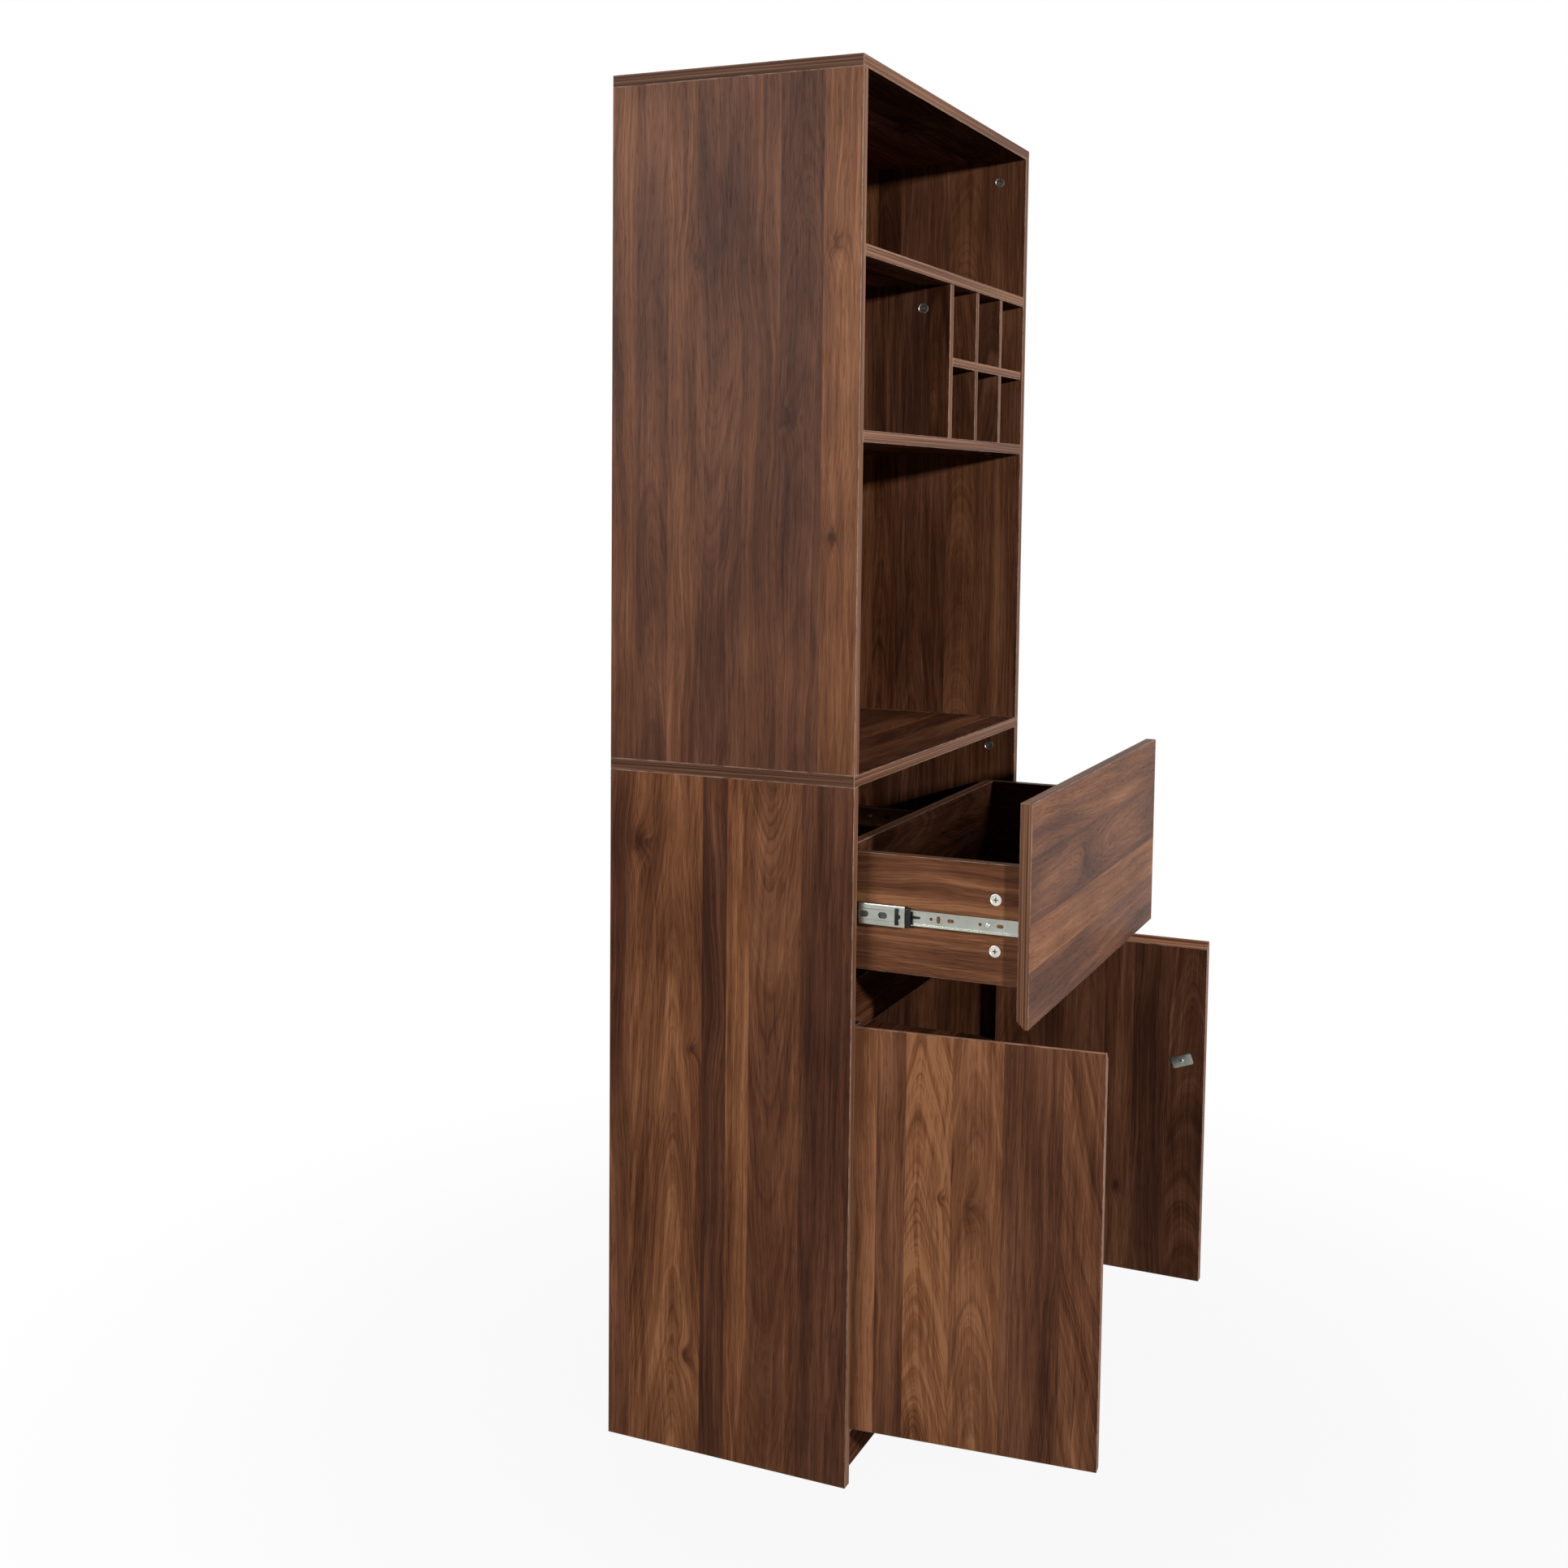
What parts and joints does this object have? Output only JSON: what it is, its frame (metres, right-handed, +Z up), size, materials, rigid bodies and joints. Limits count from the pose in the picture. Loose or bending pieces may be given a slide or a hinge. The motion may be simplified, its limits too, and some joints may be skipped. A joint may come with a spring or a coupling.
{
  "type": "wine_cabinet",
  "caption": "Tall dark walnut wine cabinet with open shelves, a divided bottle rack, a drawer on ball-bearing slides and a cupboard with inset doors.",
  "frame": {"origin": "on the floor at mid width, under the middle of the kick board's bottom edge", "axes": "+X along the width to the viewer's right when facing the doors, +Y from front to back, +Z up"},
  "size_m": [0.7, 0.6595, 1.8],
  "materials": {
    "walnut_laminate": "satin dark walnut print on board",
    "walnut_panel": "satin dark walnut print on hardboard",
    "zinc_plated_steel": "bright zinc plated",
    "die_cast_zinc": "as cast, tumbled",
    "black_plastic": "moulded, matt",
    "white_plastic": "moulded, matt",
    "beech": "raw, fluted"
  },
  "bodies": {
    "carcass": {"top_board": "walnut_laminate", "upper_left_side": "walnut_laminate", "upper_right_side": "walnut_laminate", "upper_shelf": "walnut_laminate", "lower_shelf": "walnut_laminate", "rack_divider": "walnut_laminate", "rack_shelf": "walnut_laminate", "bottle_divider_1": "walnut_laminate", "bottle_divider_2": "walnut_laminate", "countertop": "walnut_laminate", "lower_left_side": "walnut_laminate", "lower_right_side": "walnut_laminate", "bottom_board": "walnut_laminate", "kick_board": "walnut_laminate", "front_rail": "walnut_laminate", "cupboard_shelf": "walnut_laminate", "upper_back_panel": "walnut_panel", "lower_back_panel": "walnut_panel", "shelf_pins": "zinc_plated_steel", "cam_locks": "die_cast_zinc", "cam_bolts": "zinc_plated_steel", "dowels": "beech", "pivot_brackets": "zinc_plated_steel", "carcass_screws": "zinc_plated_steel", "magnet_catches": "black_plastic", "catch_poles": "zinc_plated_steel", "left_slide_outer": "zinc_plated_steel", "right_slide_outer": "zinc_plated_steel"},
    "drawer": {"drawer_front": "walnut_laminate", "drawer_left_side": "walnut_laminate", "drawer_right_side": "walnut_laminate", "drawer_back": "walnut_laminate", "drawer_bottom": "walnut_panel", "drawer_cam_locks": "die_cast_zinc", "drawer_cam_bolts": "zinc_plated_steel", "drawer_screws": "zinc_plated_steel", "left_slide_inner": "zinc_plated_steel", "right_slide_inner": "zinc_plated_steel", "slide_levers": "black_plastic"},
    "left_middle": {"left_slide_middle": "zinc_plated_steel", "left_slide_stop": "black_plastic"},
    "right_middle": {"right_slide_middle": "zinc_plated_steel", "right_slide_stop": "black_plastic"},
    "left_cage_outer": {"left_outer_cage": "zinc_plated_steel"},
    "right_cage_outer": {"right_outer_cage": "zinc_plated_steel"},
    "left_cage_inner": {"left_inner_cage": "zinc_plated_steel"},
    "right_cage_inner": {"right_inner_cage": "zinc_plated_steel"},
    "door_left": {"left_door": "walnut_laminate", "left_door_bushings": "white_plastic", "left_strike_plate": "zinc_plated_steel", "left_strike_screw": "zinc_plated_steel"},
    "door_right": {"right_door": "walnut_laminate", "right_door_bushings": "white_plastic", "right_strike_plate": "zinc_plated_steel", "right_strike_screw": "zinc_plated_steel"}
  },
  "joints": [
    {"name": "drawer_slide", "type": "slide", "parent": "carcass", "child": "drawer", "axis": [0, -1, 0], "range_m": [-0.224, 0.026]},
    {"name": "left_middle_slide", "type": "slide", "parent": "carcass", "child": "left_middle", "axis": [0, -1, 0], "range_m": [-0.112, 0.013]},
    {"name": "right_middle_slide", "type": "slide", "parent": "carcass", "child": "right_middle", "axis": [0, -1, 0], "range_m": [-0.112, 0.013]},
    {"name": "left_outer_cage_slide", "type": "slide", "parent": "carcass", "child": "left_cage_outer", "axis": [0, -1, 0], "range_m": [-0.056, 0.0065]},
    {"name": "right_outer_cage_slide", "type": "slide", "parent": "carcass", "child": "right_cage_outer", "axis": [0, -1, 0], "range_m": [-0.056, 0.0065]},
    {"name": "left_inner_cage_slide", "type": "slide", "parent": "carcass", "child": "left_cage_inner", "axis": [0, -1, 0], "range_m": [-0.168, 0.0195]},
    {"name": "right_inner_cage_slide", "type": "slide", "parent": "carcass", "child": "right_cage_inner", "axis": [0, -1, 0], "range_m": [-0.168, 0.0195]},
    {"name": "left_door_hinge", "type": "hinge", "parent": "carcass", "child": "door_left", "pos_m": [-0.323, -0.016, 0.3335], "axis": [0, 0, -1], "range_deg": [-85, 25]},
    {"name": "right_door_hinge", "type": "hinge", "parent": "carcass", "child": "door_right", "pos_m": [0.323, -0.016, 0.3335], "axis": [0, 0, 1], "range_deg": [-90, 20]}
  ],
  "couplings": [
    {"joint": "left_middle_slide", "follows": "drawer_slide", "ratio": 0.5},
    {"joint": "right_middle_slide", "follows": "drawer_slide", "ratio": 0.5},
    {"joint": "left_outer_cage_slide", "follows": "drawer_slide", "ratio": 0.25},
    {"joint": "right_outer_cage_slide", "follows": "drawer_slide", "ratio": 0.25},
    {"joint": "left_inner_cage_slide", "follows": "drawer_slide", "ratio": 0.75},
    {"joint": "right_inner_cage_slide", "follows": "drawer_slide", "ratio": 0.75}
  ]
}
